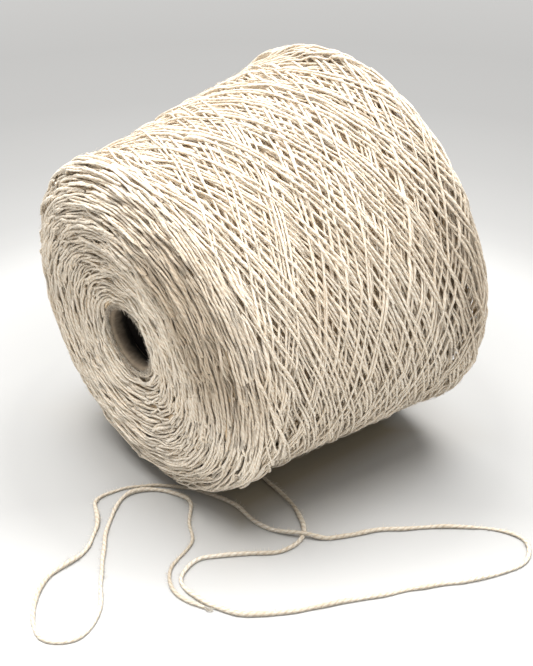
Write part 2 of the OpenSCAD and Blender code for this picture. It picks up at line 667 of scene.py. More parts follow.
    def _lowest_way(self, to_base: bool, done: float, lean: float) -> tuple[float, float, float]:
        """Way that fills the lowest places, out of a few at random.

        Args:
            to_base: Whether the yarn runs from the nose to the base.
            done: Share of the winding that is laid.
            lean: Angle to the circumference between the shoulders.

        Returns:
            The angle where it begins, and the places along the outline of its two ends.
        """
        rng, outline = self.rng, self.outline
        habit = self.traverse
        nose = [first + farther * done for first, farther in habit.nose_turns]
        last = outline.walk_at_radius(habit.base_radius[0] + habit.base_radius[1] * done, End.BASE)
        base = outline.walk_at_station(habit.base_station), last
        best, lowest = (0.0, nose[0], base[0]), 1e9
        for _ in range(habit.tries):
            ends = rng.uniform(*nose), rng.uniform(*base)
            start, goal = ends if to_base else ends[::-1]
            angle = float(rng.uniform(0, TURN))
            walk, turned, _ = self._path(start, goal, angle, lean)
            tops = self.laid.top[self.laid.index(walk[::2], turned[::2])]
            level = float(np.mean(tops) + 0.5 * np.mean(tops[:25]) + 0.5 * np.mean(tops[-25:]))
            if level < lowest:
                best, lowest = (angle, start, goal), level
        return best

    def lay_proud(self, pair: ProudPair) -> None:
        """Lays a pair of strands that stand out.

        Args:
            pair: The pair, with the angle and the lean in degrees.
        """
        ends = [self.outline.walk_at_station(station)
                for station in (self.traverse.proud_station, self.traverse.base_station)]
        start, goal = ends if pair.to_base else ends[::-1]
        path, turned, _ = self._path(start, goal, 0.0, math.radians(pair.lean))
        way = 1 if pair.to_base else -1
        offset = float(np.interp(way * pair.walk, way * path, turned))
        for k in range(2):
            angle = math.radians(pair.angle) - offset + k * pair.beside
            self.side.append(self._traverse(start, goal, angle, math.radians(pair.lean)))

    def _path(self, start: float, goal: float, angle: float,
              lean: float) -> tuple[np.ndarray, np.ndarray, np.ndarray]:
        """Places, angles and slopes of a traverse at steps of one millimetre.

        Args:
            start: Place along the outline where it begins.
            goal: Place along the outline where it ends.
            angle: Angle round the axis where it begins.
            lean: Angle to the circumference between the shoulders.

        Returns:
            The places along the outline, the angles and the slopes.
        """
        way, turn = math.copysign(1.0, goal - start), self.traverse.turn
        length = abs(goal - start) / math.sin(lean) + turn
        t = np.arange(0.0, length, 1.0)
        climb = math.sin(lean) * smooth(np.minimum(t, length - t) / turn)
        walk = start + way * np.cumsum(climb)
        walk = walk + (goal - walk[-1]) * smooth(t / length)
        slope = np.arcsin(np.clip(np.gradient(walk), -0.9, 0.9))
        around = self.outline.at(walk, self.outline.radius) + 3
        return walk, angle + np.cumsum(np.cos(slope) / around), slope

    def _traverse(self, start: float, goal: float, angle: float, lean: float) -> Strand:
        """One pass of the yarn from shoulder to shoulder, pulled tight over what lies below it.

        Args:
            start: Place along the outline where it begins.
            goal: Place along the outline where it ends.
            angle: Angle round the axis where it begins.
            lean: Angle to the circumference between the shoulders.

        Returns:
            The strand.
        """
        rng, outline = self.rng, self.outline
        walk, turned, slope = self._path(start, goal, angle, lean)
        around = outline.at(walk, outline.radius) + 3
        shift = self._slip(walk, turned, slope) + self.traverse.sway * wander(rng, len(walk), 7)
        walk, turned = walk + shift * np.cos(slope), turned - shift * np.sin(slope) / around
        radius = self.thickness.along(rng, len(walk))
        low = self.laid.needed(walk, turned, slope, radius)
        bend = outline.at(walk, outline.normal_out) * np.cos(slope) ** 2 / around
        near = np.max([np.roll(low, k) for k in range(-4, 5)], axis=0)
        height = blurred(np.minimum(taut(low, np.maximum(bend, 0)), near), 0.9)
        self.laid.lay(walk, turned, slope, height, radius)
        return Strand(walk, turned, height, radius)

    def _slip(self, walk: np.ndarray, angle: np.ndarray, slope: np.ndarray) -> np.ndarray:
        """How far a tight strand slips sideways into the hollow beside it, in millimetres.

        Args:
            walk: Places along the outline.
            angle: Angles round the axis, in radians.
            slope: The line's slopes to the circumference, in radians.

        Returns:
            The slips.
        """
        habit = self.traverse
        offsets = np.linspace(-habit.slip, habit.slip, 7)
        around = self.outline.at(walk, self.outline.radius) + 3
        tops = np.array([self.laid.top[self.laid.index(
            walk + off * np.cos(slope), angle - off * np.sin(slope) / around)] for off in offsets])
        tops = np.array([blurred(line, 5) for line in tops])
        weights = np.exp(-(tops - tops.min(axis=0)) / habit.slip_softness)
        return blurred((weights * offsets[:, None]).sum(axis=0) / weights.sum(axis=0), 8)

    # -- from the surface to space

    def settle(self) -> None:
        """Measures how thick the pile is, so that its crest comes to the outline."""
        self.pile = self.laid.pile(self.places_round, self.even_over)

    def pile_at(self, walk: np.ndarray, angle: np.ndarray) -> np.ndarray:
        """Height of the pile's crest at some places.

        Args:
            walk: Places along the outline.
            angle: Angles round the axis, in radians.

        Returns:
            The heights over the core.
        """
        row = np.clip(walk / self.laid.CELL, 0, len(self.pile) - 1.001)
        column = (angle % TURN) / TURN * self.places_round - 0.5
        low, left = row.astype(int), np.floor(column).astype(int)
        up, right = row - low, column - left
        near, far = left % self.places_round, (left + 1) % self.places_round
        first = self.pile[low, near] * (1 - right) + self.pile[low, far] * right
        second = self.pile[low + 1, near] * (1 - right) + self.pile[low + 1, far] * right
        return first * (1 - up) + second * up

    def points(self, walk: np.ndarray, angle: np.ndarray, height: np.ndarray,
               clear: np.ndarray) -> np.ndarray:
        """Points in metres of places over the core.

        Args:
            walk: Places along the outline.
            angle: Angles round the axis.
            height: Heights over the core.
            clear: Smallest height above the floor, in millimetres.

        Returns:
            The points.
        """
        outline = self.outline
        out = height - self.pile_at(walk, angle)
        high = np.maximum(out, 0.0)
        out = out - high + self.stands_out * (1 - np.exp(-high / self.stands_out))
        out = out + self.unevenness(walk, angle)
        points = self.shape.pose.place(
            outline.at(walk, outline.radius) + out * outline.at(walk, outline.normal_out),
            angle, outline.at(walk, outline.station) + out * outline.at(walk, outline.normal_along))
        points[:, 2] = np.maximum(points[:, 2], MM * clear)
        return points

    def unevenness(self, walk: np.ndarray, angle: np.ndarray) -> np.ndarray:
        """Gentle swells of the soft package, in millimetres.

        Args:
            walk: Places along the outline.
            angle: Angles round the axis, in radians.

        Returns:
            How far the surface stands out there.
        """
        lift = 0.4 * np.sin(2 * angle + 0.4) * np.sin(walk / 40) + 0.3 * np.sin(3 * angle + walk / 55)
        for swell in self.swells:
            off = (np.degrees(angle) - swell.angle + 180) % 360 - 180
            fade = np.exp(-((walk - swell.walk) / swell.reach) ** 2 - (off / swell.spread) ** 2)
            lift = lift + swell.height * fade
        return lift

    def build(self) -> list[bpy.types.Object]:
        """Lays all the yarn and makes its pieces.

        Returns:
            The pieces, core first.
        """
        self.laid.nestle = self.face_nestle
        for end, coils in ((End.NOSE, self.nose_coils), (End.BASE, self.base_coils)):
            first, last = (self.outline.walk_at_radius(radius, end) for radius in coils[:2])
            self.lay_coils(end, (first, last), *coils[2:])
        self.thickness, self.laid.nestle = self.side_yarn, self.side_nestle
        self.lay_side()
        self.lay_coils(End.NOSE, self.rim_coils[:2], *self.rim_coils[2:])
        self.settle()
        # the outer yarn carries painted shade on the nose rim and base shoulder
        outer = YarnFinish("natural_slub_yarn", with_painted_shade=True).make()
        # a darker, browner copy of the yarn for the deep strands: painted shade of the pile
        shaded_copy = YarnFinish("inner_yarn_painted_shade", (0.84, 0.66, 0.44), (0.62, 0.44, 0.26)).make()
        pieces = [self._core()]
        for end, strands in self.faces.items():
            deep = len(strands) // self.face_layers
            pieces += self._pieces(f"{end.value}_face_inner", strands[:deep], shaded_copy)
            pieces += self._pieces(f"{end.value}_face_yarn", strands[deep:], outer)
        deep = int(len(self.side) * self.inner_side)
        pieces += self._pieces("side_inner", self.side[:deep], shaded_copy)
        pieces += self._pieces("side_yarn", self.side[deep:], outer)
        pieces += [self._hairs(f"loose_fibres_{k + 1}", outer) for k in range(self.fibre_pieces)]
        return pieces

    def _pieces(self, name: str, strands: list[Strand],
                finish: bpy.types.Material) -> list[bpy.types.Object]:
        """Makes some strands in pieces of a handy size.

        Args:
            name: Name of the pieces, before their number.
            strands: The strands.
            finish: Material of the yarn.

        Returns:
            The pieces.
        """
        groups: list[list[YarnLine]] = [[]]
        size = 0
        for line in self._lines(strands):
            size += len(line.points)
            if size > self.points_a_piece:
                groups.append([])
                size = len(line.points)
            groups[-1].append(line)
        return [YarnTubes(f"{name}_{k}", group).build(finish)
                for k, group in enumerate(groups, 1) if group]

    def _lines(self, strands: list[Strand]) -> list[YarnLine]:
        """Centre lines of the stretches of some strands that show.

        Args:
            strands: The strands.

        Returns:
            The lines.
        """
        lines = []
        for strand in strands:
            offset = float(self.rng.uniform(0, 900))
            for first, stop in self._shown(strand):
                keep = np.unique(np.append(np.arange(first, stop, 3), stop - 1))
                radius = strand.radius[keep] * self.swollen
                points = self.points(strand.walk[keep], strand.angle[keep], strand.height[keep],
                                     0.9 * radius)
                lines.append(YarnLine(points, radius * MM, offset + first))
        return lines

    def _hairs(self, name: str, finish: bpy.types.Material) -> bpy.types.Object:
        """Fine loose fibres that stand a little off the yarn, and over the edge of the bore.

        Args:
            name: Name of the piece.
            finish: Material of the yarn.

        Returns:
            The piece.
        """
        rng, shape, lines = self.rng, self.shape, []
        u = np.array([0.0, 0.5, 1.0])
        hosts = [s for s in self.side[len(self.side) // 3:] for _ in range(3)]
        hosts += [s for strands in self.faces.values() for s in strands]
        share = np.array([len(s.walk) for s in hosts], float)
        for k in rng.choice(len(hosts), self.fibres_tried, p=share / share.sum()):
            strand = hosts[k]
            i = int(rng.integers(0, len(strand.walk)))
            cell = self.laid.index(strand.walk[i:i + 1], strand.angle[i:i + 1])
            if self.laid.top[cell][0] - strand.height[i] > self.fibre_buried:
                continue
            reach, way, bend = rng.uniform(*self.fibre_length), rng.uniform(0, TURN), rng.normal(0, 0.5)
            around = float(self.outline.at(strand.walk[i], self.outline.radius))
            walk = strand.walk[i] + reach * u * np.sin(way + bend * u)
            angle = strand.angle[i] + reach * u * np.cos(way + bend * u) / around
            lift = rng.uniform(0.1, 1.0) * reach * 0.45
            height = strand.height[i] + strand.radius[i] * 0.8 + lift * np.array([0, 0.8, 1.0])
            points = self.points(walk, angle, height, np.full(3, 0.1))
            lines.append(YarnLine(points, MM * np.array(self.fibre_radii), float(reach * 90)))
        edge = shape.cone_radius(shape.face_dish)
        for _ in range(self.fibres_at_bore):
            start, reach = rng.uniform(0, TURN), rng.uniform(*self.bore_fibre_length)
            station = shape.face_dish + rng.uniform(-0.6, 1.2) + rng.normal(0, 0.3) * u
            points = shape.pose.place(edge + 1.0 - (reach + 0.7) * u,
                                      start + rng.normal(0, 0.10) * u,
                                      station + rng.uniform(-0.5, 1.0) * u * u)
            lines.append(YarnLine(points, MM * np.array(self.bore_fibre_radii), float(reach * 90)))
        return YarnTubes(name, lines, 0).build(finish)

    def _shown(self, strand: Strand) -> list[tuple[int, int]]:
        """Stretches of a strand that aren't buried deep under later yarn, as first and stop.

        Args:
            strand: The strand.

        Returns:
            First and stop of each stretch, as samples of the strand.
        """
        top = self.laid.top[self.laid.index(strand.walk, strand.angle)]
        buried = blurred((top - strand.height > self.hidden_below).astype(float), 4) > 0.97
        edges = np.flatnonzero(np.diff(np.concatenate([[True], buried, [True]]).astype(int)))
        return [(int(a), int(b)) for a, b in zip(edges[::2], edges[1::2]) if b - a > 7]

    def _core(self) -> bpy.types.Object:
        """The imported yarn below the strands, as one turned shape.

        Returns:
            The piece.
        """
        outline, shape = self.outline, self.shape
        loop = []
        for walk in np.arange(0.0, outline.length, 2.0):
            out = -float(self.pile[int(walk / self.laid.CELL)].mean()) - self.core_below
            loop.append((float(outline.at(walk, outline.radius + out * outline.normal_out)),
                         float(outline.at(walk, outline.station + out * outline.normal_along))))
        loop += [(shape.cone_radius(station) + self.core_off_cone, station)
                 for station in (shape.winding_length - 8.0, 8.0)]
        mesh = turned(loop, 160)
        for v in mesh.verts:
            angle, around = math.atan2(v.co.y, v.co.x), math.hypot(v.co.x, v.co.y)
            # on the side, the place along the outline is about the station and the face's width
            swell = float(self.unevenness(np.array([v.co.z + 60]), np.array([angle]))[0])
            if around > shape.cone_radius(v.co.z) + 4:
                v.co.x += swell * v.co.x / around
                v.co.y += swell * v.co.y / around
        bmesh.ops.transform(mesh, matrix=shape.pose.matrix(), verts=mesh.verts)
        for v in mesh.verts:
            v.co.z = max(v.co.z, MM * self.core_clear)
        piece = finished("winding_core", mesh, PackedYarnFinish().make())
        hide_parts("winding")
        return piece


# ---------------------------------------------------------------- making pieces


def placed(name: str, data: bpy.types.ID) -> bpy.types.Object:
    """Puts a mesh, curve, light or camera into the scene as an object.

    Args:
        name: Name of the object.
        data: What it shows.

    Returns:
        The object.
    """
    thing = bpy.data.objects.new(name, data)
    bpy.context.scene.collection.objects.link(thing)
    return thing


def turned(outline: list[tuple[float, float]], steps: int) -> bmesh.types.BMesh:
    """Turns a closed outline of (radius, station) round the cone's axis.

    Args:
        outline: The outline, in millimetres.
        steps: Number of steps round the axis.

    Returns:
        The shape, still in millimetres about its own Z axis.
    """
    mesh = bmesh.new()
    loop = [mesh.verts.new((radius, 0.0, station)) for radius, station in outline]
    edges = [mesh.edges.new((loop[i], loop[(i + 1) % len(loop)])) for i in range(len(loop))]
    bmesh.ops.spin(mesh, geom=loop + edges, cent=(0, 0, 0), axis=(0, 0, 1), angle=TURN,
                   steps=steps, use_merge=True)
    bmesh.ops.remove_doubles(mesh, verts=mesh.verts, dist=1e-4)
    bmesh.ops.recalc_face_normals(mesh, faces=mesh.faces)
    return mesh


def finished(name: str, mesh: bmesh.types.BMesh, finish: bpy.types.Material,
             shade_smooth: bool = True) -> bpy.types.Object:
    """Turns a finished mesh into a piece of the object.

    Args:
        name: Name of the piece.
        mesh: The mesh, in metres in the CAD frame.
        finish: Its material.
        shade_smooth: Whether its faces blend into each other.

    Returns:
        The piece.
    """
    data = bpy.data.meshes.new(name)
    mesh.to_mesh(data)
    mesh.free()
    for face in data.polygons:
        face.use_smooth = shade_smooth
    data.materials.append(finish)
    return placed(name, data)


@dataclass
class YarnLine:
    """Centre line of a strand in metres, its radii, and where its spin pattern begins."""

    points: np.ndarray
    radii: np.ndarray
    offset: float = 0.0


@dataclass
class YarnTubes:
    """Many strands made as round tubes in one piece, with a pattern that follows each strand."""

    name: str
    lines: list[YarnLine]
    roundness: int = 1

    def curve(self) -> bpy.types.Curve:
        """The strands as one round curve.

        Returns:
            The curve, with its thickness in its radii.
        """
        curve = bpy.data.curves.new(self.name, "CURVE")
        curve.dimensions = "3D"
        curve.bevel_depth = 1.0
        curve.bevel_resolution = self.roundness
        curve.use_fill_caps = True
        curve.twist_mode = "MINIMUM"
        for line in self.lines:
            count = len(line.points)
            spline = curve.splines.new("POLY")
            spline.points.add(count - 1)
            spline.points.foreach_set(
                "co", np.hstack([line.points, np.ones((count, 1))]).astype(np.float32).ravel())
            spline.points.foreach_set("radius", line.radii.astype(np.float32))
        return curve

    def build(self, finish: bpy.types.Material) -> bpy.types.Object:
        """Makes the piece.

        Args:
            finish: Material of the yarn.

        Returns:
            The piece.
        """
        curve = self.curve()
        holder = placed(self.name, curve)
        data = bpy.data.meshes.new_from_object(
            holder.evaluated_get(bpy.context.evaluated_depsgraph_get()))
        bpy.data.objects.remove(holder)
        bpy.data.curves.remove(curve)
        data.name = self.name
        self._measure_pattern(data)
        data.polygons.foreach_set("use_smooth", np.ones(len(data.polygons), bool))
        data.materials.clear()
        data.materials.append(finish)
        return placed(self.name, data)

    def _measure_pattern(self, data: bpy.types.Mesh) -> None:
        """Makes the pattern's first coordinate run in millimetres along each strand.

        Args:
            data: Mesh of the tubes, in the order of the strands.
        """
        sides = 4 + 2 * self.roundness
        along = []
        for line in self.lines:
            step = np.linalg.norm(np.diff(line.points, axis=0), axis=1) / MM
            run = line.offset + np.concatenate([[0], np.cumsum(step)])
            along.append(np.repeat(run[[0, -1]], sides))
            along.append(np.repeat(run, sides))
        along = np.concatenate(along)
        if len(along) != len(data.vertices):
            raise ValueError(f"{self.name}: {len(data.vertices)} vertices, not {len(along)}")
        corners = np.zeros(len(data.loops), np.int32)
        data.loops.foreach_get("vertex_index", corners)
        pattern = np.zeros(2 * len(data.loops), np.float32)
        layer = data.uv_layers[0]
        layer.data.foreach_get("uv", pattern)
        pattern[0::2] = along[corners]
        layer.data.foreach_set("uv", pattern)


# ---------------------------------------------------------------- finishes


class NodeBench:
    """Short words for making a material's nodes."""

    def __init__(self, name: str) -> None:
        """Makes an empty material with a surface shader.

        Args:
            name: Name of the material.
        """
        self.material = bpy.data.materials.new(name)
        self.material.use_nodes = True
        self.tree = self.material.node_tree
        self.shader = self.tree.nodes["Principled BSDF"]

    def add(self, kind: str, **values: object) -> bpy.types.Node:
        """Adds a node and sets its properties.

        Args:
            kind: Type of the node.
            values: Its properties.

        Returns:
            The node.
        """
        node = self.tree.nodes.new(kind)
        for key, value in values.items():
            setattr(node, key, value)
        return node

    def link(self, source: bpy.types.NodeSocket, target: bpy.types.NodeSocket) -> None:
        """Joins two sockets."""
        self.tree.links.new(source, target)

    def set_surface(self, **values: object) -> None:
        """Sets constants on the shader's own sockets, named with underscores for spaces."""
        for name, value in values.items():
            self.shader.inputs[name.replace("_", " ")].default_value = value

    def place(self) -> bpy.types.NodeSocket:
        """Place on the object, in metres."""
        return self.add("ShaderNodeTexCoord").outputs["Object"]

    def split(self, vector: bpy.types.NodeSocket) -> bpy.types.NodeOutputs:
        """The three parts of a vector.

        Args:
            vector: The vector.

        Returns:
            The outputs, one for each part.
        """
        node = self.add("ShaderNodeSeparateXYZ")
        self.link(vector, node.inputs[0])
        return node.outputs

    def scaled(self, vector: bpy.types.NodeSocket,
               scale: tuple[float, float, float]) -> bpy.types.NodeSocket:
        """A vector stretched along its axes.

        Args:
            vector: The vector.
            scale: How much it is stretched along each axis.

        Returns:
            The new vector.
        """
        node = self.add("ShaderNodeMapping")
        node.inputs["Scale"].default_value = scale
        self.link(vector, node.inputs[0])
        return node.outputs[0]

    def vector(self, operation: str, first: bpy.types.NodeSocket,
               second: tuple[float, float, float] = (0, 0, 0)) -> bpy.types.NodeOutputs:
        """A vector sum: its outputs are Vector and Value.

        Args:
            operation: Kind of sum.
            first: The first vector.
            second: The second one, a constant.

        Returns:
            The outputs.
        """
        node = self.add("ShaderNodeVectorMath", operation=operation)
        self.link(first, node.inputs[0])
        node.inputs[1].default_value = second
        return node.outputs

    def math(self, operation: str, *values: float | bpy.types.NodeSocket) -> bpy.types.NodeSocket:
        """A sum of numbers or sockets.

        Args:
            operation: Kind of sum.
            values: What goes into it, in order.

        Returns:
            The result.
        """
        node = self.add("ShaderNodeMath", operation=operation)
        for k, value in enumerate(values):
            if isinstance(value, bpy.types.NodeSocket):
                self.link(value, node.inputs[k])
            else:
                node.inputs[k].default_value = value
        return node.outputs[0]

    def noise(self, vector: bpy.types.NodeSocket, scale: float, detail: float = 2.0,
              roughness: float = 0.5) -> bpy.types.NodeSocket:
        """Noise between 0 and 1 at a scale.

        Args:
            vector: Where it is read.
            scale: Its scale.
            detail: How many finer layers it has.
            roughness: How strong the finer layers are.

        Returns:
            The noise.
        """
        node = self.add("ShaderNodeTexNoise")
        self.link(vector, node.inputs["Vector"])
        for name, value in (("Scale", scale), ("Detail", detail), ("Roughness", roughness)):
            node.inputs[name].default_value = value
        return node.outputs["Fac"]

    def ramp(self, factor: bpy.types.NodeSocket,
             stops: list[tuple[float, tuple[float, float, float]]]) -> bpy.types.NodeSocket:
        """Colour that changes with a factor.

        Args:
            factor: The factor.
            stops: Places on the ramp and their colours.

        Returns:
            The colour.
        """
        node = self.add("ShaderNodeValToRGB")
        self.link(factor, node.inputs[0])
        band = node.color_ramp
        while len(band.elements) < len(stops):
            band.elements.new(0.5)
        for element, (place, colour) in zip(band.elements, stops):
            element.position = place
            element.color = (*colour, 1)
        return node.outputs["Color"]

    def mix(self, factor: float | bpy.types.NodeSocket, first: object, second: object,
            blend: str = "MIX") -> bpy.types.NodeSocket:
        """Blend of two colours.

        Args:
            factor: How much of the second one shows.
            first: The first colour.
            second: The second colour.
            blend: How they are blended.

        Returns:
            The colour.
        """
        node = self.add("ShaderNodeMix", data_type="RGBA", blend_type=blend)
        for value, key in ((factor, 0), (first, 6), (second, 7)):
            if isinstance(value, bpy.types.NodeSocket):
                self.link(value, node.inputs[key])
            elif key == 0:
                node.inputs[key].default_value = value
            else:
                node.inputs[key].default_value = (*value, 1)
        return node.outputs[2]

    def over_axis(self, place: bpy.types.NodeSocket) -> tuple[bpy.types.NodeSocket, ...]:
        """Station along the cone's axis and distance from it, in millimetres.

        Args:
            place: Place on the object.

        Returns:
            The station and the distance.
        """
        pose = PackageShape().pose
        local = self.vector("SUBTRACT", place, (MM * pose.axis_x, 0, MM * pose.axis_height))[0]
        along = self.vector("DOT_PRODUCT", local, (math.cos(pose.taper), 0, math.sin(pose.taper)))
        length = self.vector("LENGTH", local)["Value"]
        off = self.math("SQRT", self.math("MAXIMUM", 0.0, self.math(
            "SUBTRACT", self.math("POWER", length, 2.0),
            self.math("POWER", along["Value"], 2.0))))
        return (self.math("MULTIPLY", along["Value"], 1 / MM), self.math("MULTIPLY", off, 1 / MM))

    def band(self, value: bpy.types.NodeSocket, low: float, high: float,
             edge: float) -> bpy.types.NodeSocket:
        """One between two values, falling to nothing over an edge on both sides.

        Args:
            value: The value.
            low: Lower end.
            high: Upper end.
            edge: Width of each edge.

        Returns:
            A number between 0 and 1.
        """
        up = self.math("DIVIDE", self.math("SUBTRACT", value, low), edge)
        down = self.math("DIVIDE", self.math("SUBTRACT", high, value), edge)
        inside = self.math("MINIMUM", self.math("MINIMUM", up, down), 1.0)
        return self.math("MAXIMUM", inside, 0.0)

    def bump(self, height: bpy.types.NodeSocket, distance: float, strength: float = 1.0) -> None:
        """Roughens the surface by a height given between 0 and 1.

        Args:
            height: The height.
            distance: Its real size, in metres.
            strength: How much of it shows.
        """
        node = self.add("ShaderNodeBump")
        node.inputs["Strength"].default_value = strength
        node.inputs["Distance"].default_value = distance
        self.link(height, node.inputs["Height"])
        self.link(node.outputs["Normal"], self.shader.inputs["Normal"])

    def dye(self, colour: bpy.types.NodeSocket) -> None:
        """Gives the surface its colour."""
        self.link(colour, self.shader.inputs["Base Color"])


@dataclass(frozen=True)
class YarnFinish:
    """Natural, slightly fuzzy spun yarn."""

    name: str
    light: tuple[float, float, float] = (0.88, 0.79, 0.66)
    dark: tuple[float, float, float] = (0.66, 0.55, 0.41)
    bleached: tuple[float, float, float] = (0.92, 0.87, 0.78)
    fleck: tuple[float, float, float] = (0.36, 0.25, 0.14)
    # colour of the painted shade in the grooves of the ply twist
    groove_shade: tuple[float, float, float] = (0.70, 0.58, 0.44)
    # colour that multiplies in as painted shade on the nose rim and base shoulder
    shade_tint: tuple[float, float, float] = (0.62, 0.58, 0.53)
    ply_pitch: float = 3.4
    along_scale: float = 1.0
    # whether it paints shade on the rim of the nose face and on the base shoulder
    with_painted_shade: bool = False

    def make(self) -> bpy.types.Material:
        """Builds the material.

        Returns:
            The material.
        """
        b = NodeBench(self.name)
        pattern = b.split(b.add("ShaderNodeUVMap").outputs[0])
        along, around = b.math("MULTIPLY", pattern[0], self.along_scale), pattern[1]
        joined = b.add("ShaderNodeCombineXYZ")
        b.link(along, joined.inputs[0])
        b.link(b.math("MULTIPLY", around, 5.0), joined.inputs[1])
        fibres = b.noise(b.scaled(joined.outputs[0], (0.35, 1.6, 1.0)), 1.6, 3, 0.6)
        batch = b.noise(b.scaled(joined.outputs[0], (0.012, 0.0, 1.0)), 1.0, 2)
        place = b.place()
        patches = b.noise(place, 26, 2)
        tone = b.math("ADD", b.math("MULTIPLY", fibres, 0.55),
                      b.math("ADD", b.math("MULTIPLY", patches, 0.25), b.math("MULTIPLY", batch, 0.5)))
        colour = b.ramp(tone, [(0.40, self.dark), (0.62, self.light), (0.9, self.bleached)])
        marked = b.math("GREATER_THAN", b.noise(place, 420, 1), 0.80)
        colour = b.mix(b.math("MULTIPLY", marked, 0.5), colour, self.fleck)
        # painted shade: the rim of the nose face and the base shoulder greyer on the -Y side
        if self.with_painted_shade:
            colour = b.mix(self._painted_shade(b, place), colour, self.shade_tint, "MULTIPLY")
        twist = b.math("SINE", b.math("MULTIPLY", TURN, b.math(
            "ADD", b.math("ADD", b.math("DIVIDE", along, self.ply_pitch),
                          b.math("MULTIPLY", fibres, 0.5)), b.math("MULTIPLY", around, 2.0))))
        crown = b.math("SMOOTH_MIN", b.math("MULTIPLY_ADD", twist, 0.5, 0.75), 1.0, 0.3)
        # painted shade in the twist grooves, darker where the crown is low
        shaded = b.ramp(crown, [(0.25, self.groove_shade), (0.75, (1.0, 1.0, 1.0))])
        b.dye(b.mix(0.5, colour, shaded, "MULTIPLY"))
        b.bump(b.math("ADD", b.math("MULTIPLY", crown, 0.9), fibres), 0.00022, 0.8)
        b.set_surface(Roughness=0.88, Specular_IOR_Level=0.25, Sheen_Weight=0.25,
                      Sheen_Roughness=0.45, Sheen_Tint=(1.0, 0.96, 0.88, 1))
        return b.material

    def _painted_shade(self, b: NodeBench, place: bpy.types.NodeSocket) -> bpy.types.NodeSocket:
        """How much painted shade greys the rim of the nose face and the base shoulder.

        Args:
            b: Bench of the material.
            place: Place on the object.

        Returns:
            Share between 0 and 1.
        """
        station, off_axis = b.over_axis(place)
        cloud = b.math("MULTIPLY_ADD", b.noise(place, 30, 2), 12.0, -6.0)
        parts = b.split(place)
        front = b.band(b.math("MULTIPLY", parts[1], 1 / MM), -200, -5, 30)
        high = b.band(b.math("MULTIPLY", parts[2], 1 / MM), 60, 180, 38)
        rim = b.math("MULTIPLY", b.band(b.math("ADD", off_axis, cloud), 48, 97, 16),
                     b.band(station, -40, 24, 8))
        base = b.math("MULTIPLY", 0.6, b.band(b.math("ADD", station, cloud), 118, 300, 20))
        return b.math("MULTIPLY", b.math("MULTIPLY", b.math("MAXIMUM", rim, base), front), high)


@dataclass(frozen=True)
class PackedYarnFinish:
    """Shaded yarn deep in the winding, seen only through the gaps."""

    light: tuple[float, float, float] = (0.82, 0.69, 0.52)
    dark: tuple[float, float, float] = (0.58, 0.45, 0.30)

    def make(self) -> bpy.types.Material:
        """Builds the material.

        Returns:
            The material.
        """
        b = NodeBench("packed_yarn")
        grain = b.noise(b.place(), 700, 3)
        b.dye(b.ramp(grain, [(0.35, self.dark), (0.7, self.light)]))
        b.bump(grain, 0.0008)
        b.set_surface(Roughness=0.95, Specular_IOR_Level=0.15)
        return b.material


@dataclass(frozen=True)
class BoardFinish:
    """Uncoated board or paper, with fibres and soft stains."""

    name: str
    light: tuple[float, float, float]
    dark: tuple[float, float, float]
    roughness: float = 0.85
    # whether it turns near black inside the bore as painted shade, and over which stations
    darkens: bool = False
    bore_shade_colour: tuple[float, float, float] = (0.012, 0.009, 0.006)
    bore_shade_from: float = 8.0
    bore_shade_over: float = 7.0

    def make(self) -> bpy.types.Material:
        """Builds the material.

        Returns:
            The material.
        """
        b = NodeBench(self.name)
        place = b.place()
        fibres = b.noise(b.scaled(place, (0.3, 1.0, 1.0)), 900, 4, 0.65)
        stains = b.noise(place, 45, 2)
        tone = b.math("ADD", b.math("MULTIPLY", fibres, 0.6), b.math("MULTIPLY", stains, 0.4))
        colour = b.ramp(tone, [(0.38, self.dark), (0.62, self.light)])
        # painted shade: the paper turns near black deeper inside the bore
        if self.darkens:
            ragged = b.math("ADD", b.over_axis(place)[0], b.math("MULTIPLY", b.noise(place, 260, 2), 4.0))
            deep = b.math("DIVIDE", b.math("SUBTRACT", ragged, self.bore_shade_from), self.bore_shade_over)
            deep = b.math("MINIMUM", b.math("MAXIMUM", deep, 0.0), 1.0)
            colour = b.mix(deep, colour, self.bore_shade_colour)
        b.dye(colour)
        b.bump(fibres, 0.00012, 0.7)
        b.set_surface(Roughness=self.roughness, Specular_IOR_Level=0.3)
        return b.material


